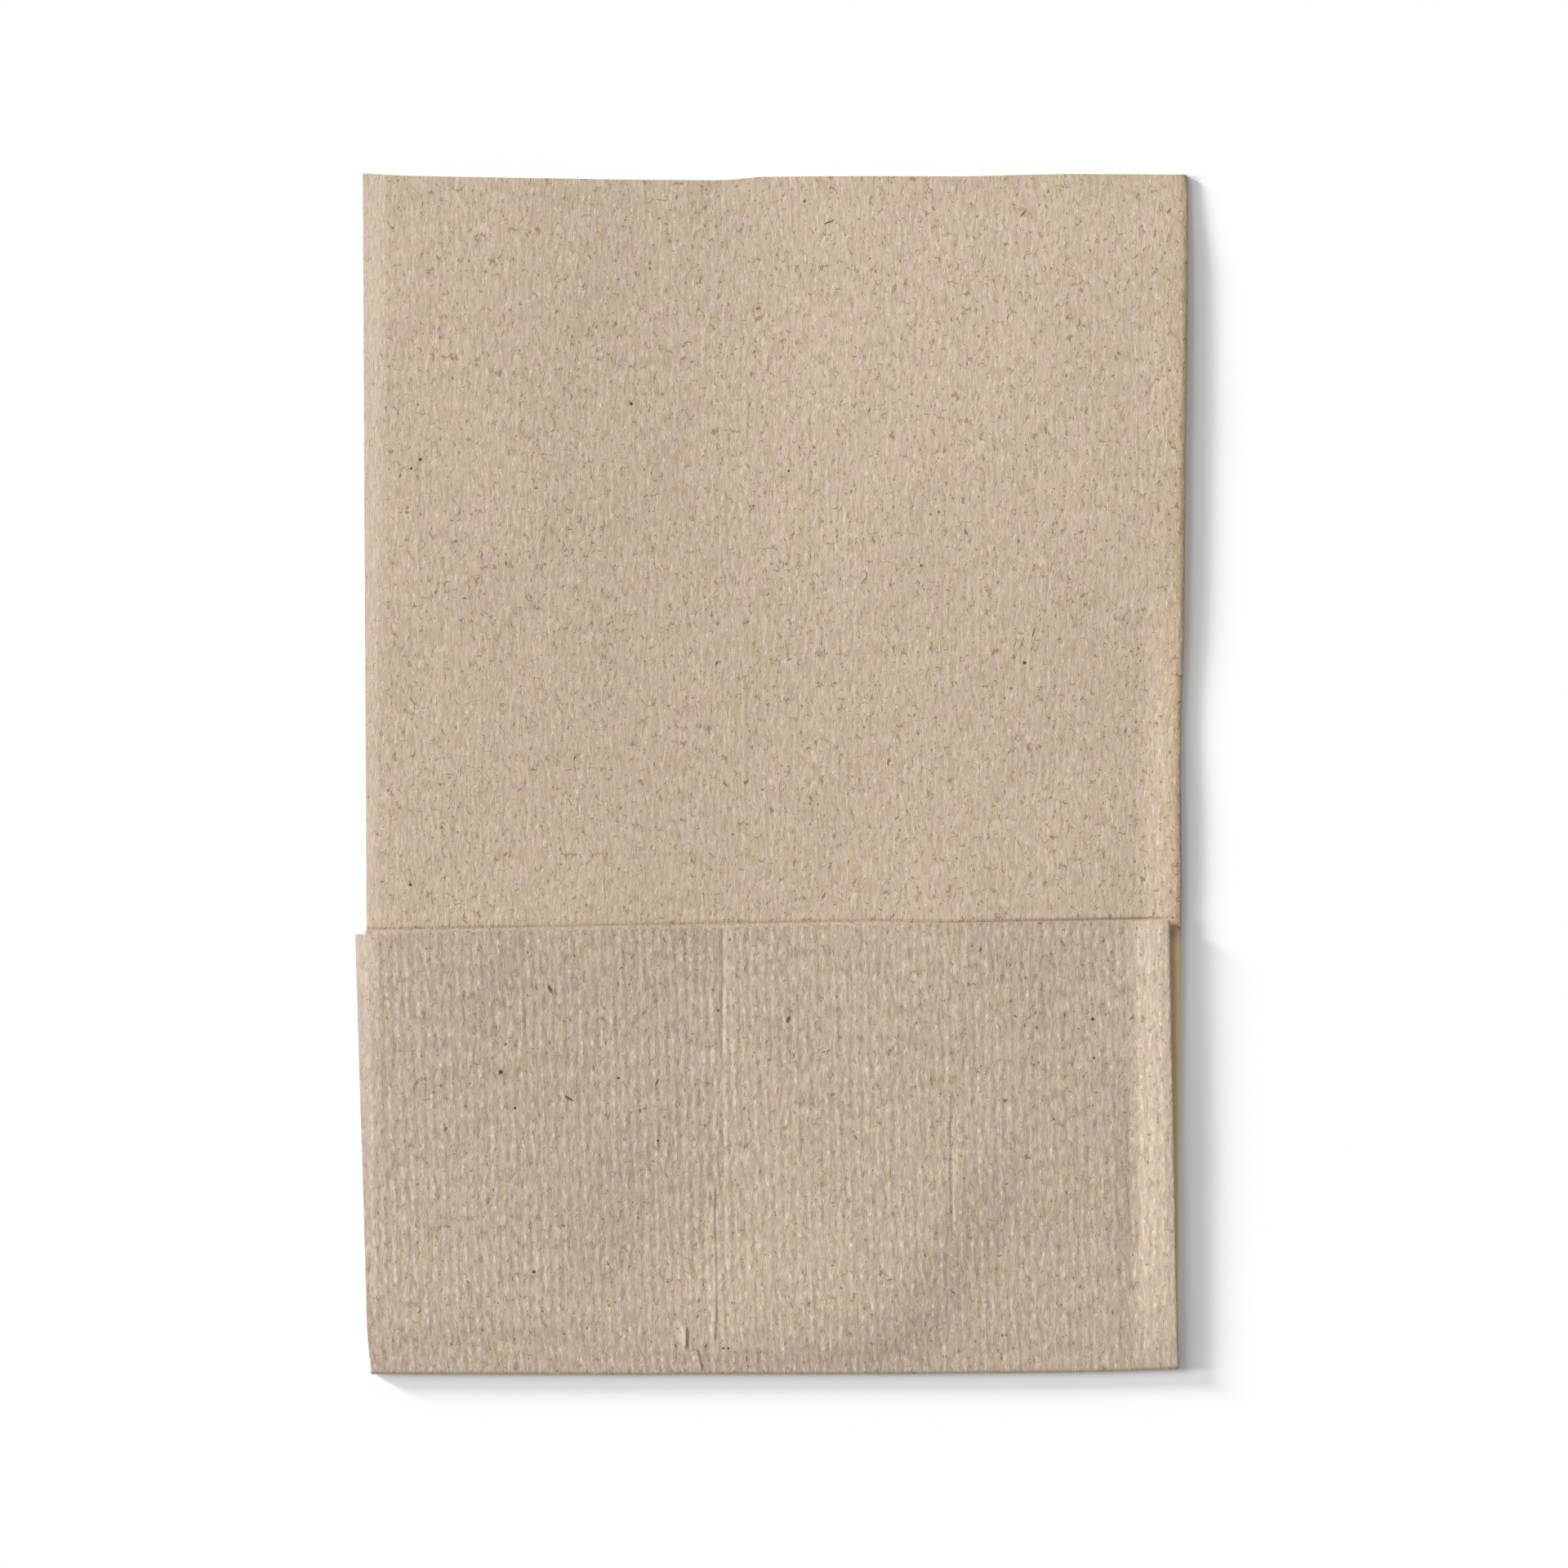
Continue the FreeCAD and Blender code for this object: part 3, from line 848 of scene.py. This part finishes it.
def fibred(n, colour, mm, strand, turned):
    """The colour with its fibres, painted glints on the pale raised ones, and a mask of those that stand
    proud.
    """
    curl = n.noise(n.scaled(mm, 0.50, 0.36, offset=(3.0, 91.0, 0.0)), detail=1.4, rough=0.45, distortion=0.5)
    sparse = n.noise(n.scaled(mm, 1.10, 0.70, offset=(17.0, 29.0, 0.0)), detail=1.5)
    broken = n.noise(n.scaled(mm, 0.80, 0.62, offset=(9.0, 57.0, 0.0)), detail=1.0)
    dark = n.product(n.band(strand, 0.44, 0.055), n.between(sparse, 0.46, 0.60))
    curled = n.product(n.band(curl, 0.50, 0.028), n.between(broken, 0.52, 0.60))
    short = n.product(n.band(curl, 0.43, 0.026), n.between(sparse, 0.58, 0.64))
    # Pale strands, painted as glints on raised fibres
    pale = n.product(n.band(strand, 0.56, 0.055), n.between(sparse, 0.48, 0.40))
    curled_share = n.math("MULTIPLY_ADD", turned, -0.14, 0.56)
    colour = n.blend("MIX", n.product(dark, 0.15), colour, linear(*DARK_FIBRE))
    colour = n.blend("MIX", n.product(curled, curled_share), colour, linear(*CURLED_FIBRE))
    colour = n.blend("MIX", n.product(short, 0.65), colour, linear(*SHORT_FIBRE))
    colour = n.blend("MIX", n.product(pale, 0.32), colour, linear(*PAINTED_HIGHLIGHT))
    return colour, n.math("MAXIMUM", dark, n.math("MAXIMUM", curled, pale))


def highlit_crests(n, colour, streak, rib, dot, turned):
    """The colour with painted highlights on the tops of the embossed dots, where a streak is pale too."""
    crest_highlight = n.between(n.math("ADD", rib, n.math("MULTIPLY", dot, 0.6)), 0.9, 1.5)
    crest_highlight = n.product(crest_highlight, n.between(streak, 0.50, 0.66), n.math("MULTIPLY_ADD", turned, 0.34, 0.14))
    return n.blend("MIX", crest_highlight, colour, linear(*PAINTED_HIGHLIGHT))


def layered(n, colour, turned):
    """The colour with painted light and shade: paler over the floor as light through one layer, warmer at the
    side fold as its shade, and warmer by the flap as bounce light in its shadow.
    """
    # Painted light through one layer, and a painted highlight on the flap's right ridge
    painted_pale = n.attribute("painted_pale_light")
    colour = n.blend("MIX", n.product(painted_pale, 0.45), colour, linear(*PAINTED_LIGHT_GROUND))
    paler = n.product(painted_pale, n.math("MULTIPLY_ADD", turned, 0.38, 0.54))
    colour = n.blend("MULTIPLY", paler, colour, LIGHT_THROUGH)
    # Painted warm shade at the side fold
    colour = n.blend("MULTIPLY", n.product(n.attribute("painted_fold_shade"), 0.7), colour, linear(*FOLD_SHADE_TINT))
    # Painted warm bounce light on the strip beside the flap, in its shadow
    colour = n.blend("MIX", n.product(n.attribute("painted_bounce_light"), 0.80), colour, linear(*BOUNCE_LIGHT_TINT))
    return n.blend("MULTIPLY", n.product(turned, 0.65), colour, linear(*FLAP_TINT))


def specked(n, colour):
    """The colour with its dark specks and hairs, each at its own place."""
    place_mm = n.scaled(n.add("ShaderNodeTexCoord").outputs["Object"], 1000.0, 1000.0, 0.0)
    for radius, spots in SPECKS:
        nearest = FAR_OFF
        for x, y in spots:
            away = n.add("ShaderNodeVectorMath", {"operation": "DISTANCE"})
            n.feed(away.inputs[0], place_mm)
            n.feed(away.inputs[1], (x, y, 0.0))
            nearest = n.math("MINIMUM", nearest, away.outputs["Value"])
        mask = n.between(nearest, 0.55 * radius, 1.25 * radius, 0.92, 0.0)
        colour = n.blend("MIX", mask, colour, linear(*DARK_SPECK))
    nearest = FAR_OFF
    for x, y, long, wide, turn in HAIRS:
        mark = n.add("ShaderNodeMapping", {"vector_type": "TEXTURE"}, Vector=place_mm, Location=(x, y, 0.0))
        mark.inputs["Rotation"].default_value = (0.0, 0.0, math.radians(turn))
        mark.inputs["Scale"].default_value = (long, wide, 1.0)
        away = n.add("ShaderNodeVectorMath", {"operation": "LENGTH"}, Vector=mark.outputs[0])
        nearest = n.math("MINIMUM", nearest, away.outputs["Value"])
    return n.blend("MIX", n.between(nearest, 0.55, 1.25, 0.80, 0.0), colour, linear(*DARK_HAIR))


def make_tissue():
    """Unbleached tissue: a pale brown ground with mottling, streaks along the sheet, brown fibres, pale
    fibres with painted glints, a few dark specks, and painted light and shade on the embossed dots and where
    the layers lie."""
    material = bpy.data.materials.new("unbleached_tissue")
    material.use_nodes = True
    n = Nodes(material.node_tree)
    mm = n.scaled(n.add("ShaderNodeUVMap", {"uv_map": "sheet"}).outputs["UV"], 1000.0, 1000.0)
    spread = n.add("ShaderNodeSeparateXYZ", Vector=mm).outputs
    rib = n.math("COSINE", n.math("MULTIPLY", spread["X"], 2.0 * math.pi / (CELL * PITCH_ACROSS)))
    dot = n.math("COSINE", n.math("MULTIPLY", spread["Y"], 2.0 * math.pi / (CELL * PITCH_DOWN)))
    turned = n.attribute("flap")
    streak = n.noise(n.scaled(mm, 1.45, 0.34, offset=(5.0, 50.0, 0.0)), detail=1.2, distortion=0.4)
    strand = n.noise(n.scaled(mm, 1.3, 0.42, offset=(71.0, 13.0, 0.0)), detail=1.0, distortion=0.6)

    colour = streaked(n, mottled(n, mm), streak, rib, dot, turned)
    colour, proud = fibred(n, colour, mm, strand, turned)
    colour = highlit_crests(n, colour, streak, rib, dot, turned)
    colour = specked(n, layered(n, colour, turned))

    height = n.math("MULTIPLY_ADD", proud, 0.35, n.math("ADD", streak, n.math("MULTIPLY", strand, 0.8)))
    bump = n.add("ShaderNodeBump", Strength=1.0, Distance=0.00004, Height=height).outputs[0]
    shader = n.add("ShaderNodeBsdfPrincipled", Base_Color=colour, Roughness=0.92, Normal=bump)
    shader.inputs["Specular IOR Level"].default_value = 0.18
    n.add("ShaderNodeOutputMaterial", Surface=shader.outputs[0])
    return material


def make_floor():
    mesh = bpy.data.meshes.new("floor")
    rim = [(-1, -1), (1, -1), (1, 1), (-1, 1)]
    mesh.from_pydata([(x * FLOOR_HALF, y * FLOOR_HALF, 0.0) for x, y in rim], [], [(0, 1, 2, 3)])
    floor = bpy.data.objects.new("floor", mesh)
    bpy.context.scene.collection.objects.link(floor)
    material = bpy.data.materials.new("white_floor")
    material.use_nodes = True
    n = Nodes(material.node_tree)
    shader = n.add("ShaderNodeBsdfDiffuse", Color=WHITE)
    n.add("ShaderNodeOutputMaterial", Surface=shader.outputs[0])
    mesh.materials.append(material)


def make_sun(name, strength, azimuth, elevation, spread):
    """A distant lamp. azimuth is the side it shines from, counted from the photo's right towards its top."""
    lamp = bpy.data.lights.new(name, "SUN")
    lamp.energy = strength
    lamp.angle = math.radians(spread)
    holder = bpy.data.objects.new(name, lamp)
    flat, high = math.radians(azimuth), math.radians(elevation)
    toward = Vector((math.cos(high) * math.cos(flat), math.cos(high) * math.sin(flat), math.sin(high)))
    holder.rotation_euler = toward.to_track_quat("Z", "Y").to_euler()
    bpy.context.scene.collection.objects.link(holder)


def make_light():
    """A white backdrop to the camera, a dimmer sky to the napkin, and the lamps."""
    world = bpy.data.worlds.new("studio")
    world.use_nodes = True
    n = Nodes(world.node_tree)
    path = n.add("ShaderNodeLightPath")
    seen = n.math("MAXIMUM", path.outputs["Is Camera Ray"], path.outputs["Is Glossy Ray"])
    seen = n.math("MAXIMUM", seen, path.outputs["Is Transmission Ray"])
    strength = n.math("ADD", n.math("MULTIPLY", seen, 1.0 - FILL), FILL)
    sky = n.add("ShaderNodeBackground", Color=WHITE, Strength=strength)
    n.add("ShaderNodeOutputWorld", Surface=sky.outputs[0])
    bpy.context.scene.world = world
    for name, share, azimuth, elevation, spread in LAMPS:
        strength = share * math.pi / math.sin(math.radians(elevation))
        make_sun(name, strength, azimuth, elevation, spread)


def make_camera():
    camera = bpy.data.cameras.new("camera")
    camera.lens = LENS
    camera.sensor_width = SENSOR
    holder = bpy.data.objects.new("camera", camera)
    pixel = MM_PER_PIXEL * MM
    offset_x = (0.5 * PHOTO_SIDE - PHOTO_MIDDLE[0]) * pixel
    offset_y = (PHOTO_MIDDLE[1] - 0.5 * PHOTO_SIDE) * pixel
    holder.location = (offset_x, offset_y, PHOTO_SIDE * pixel * LENS / SENSOR)
    bpy.context.scene.collection.objects.link(holder)
    bpy.context.scene.camera = holder


napkin = make_napkin()
napkin.data.materials.append(make_tissue())
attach(napkin, "root")
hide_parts("napkin_sheet")
make_floor()
make_light()
make_camera()
bpy.context.scene.view_settings.view_transform = "Standard"
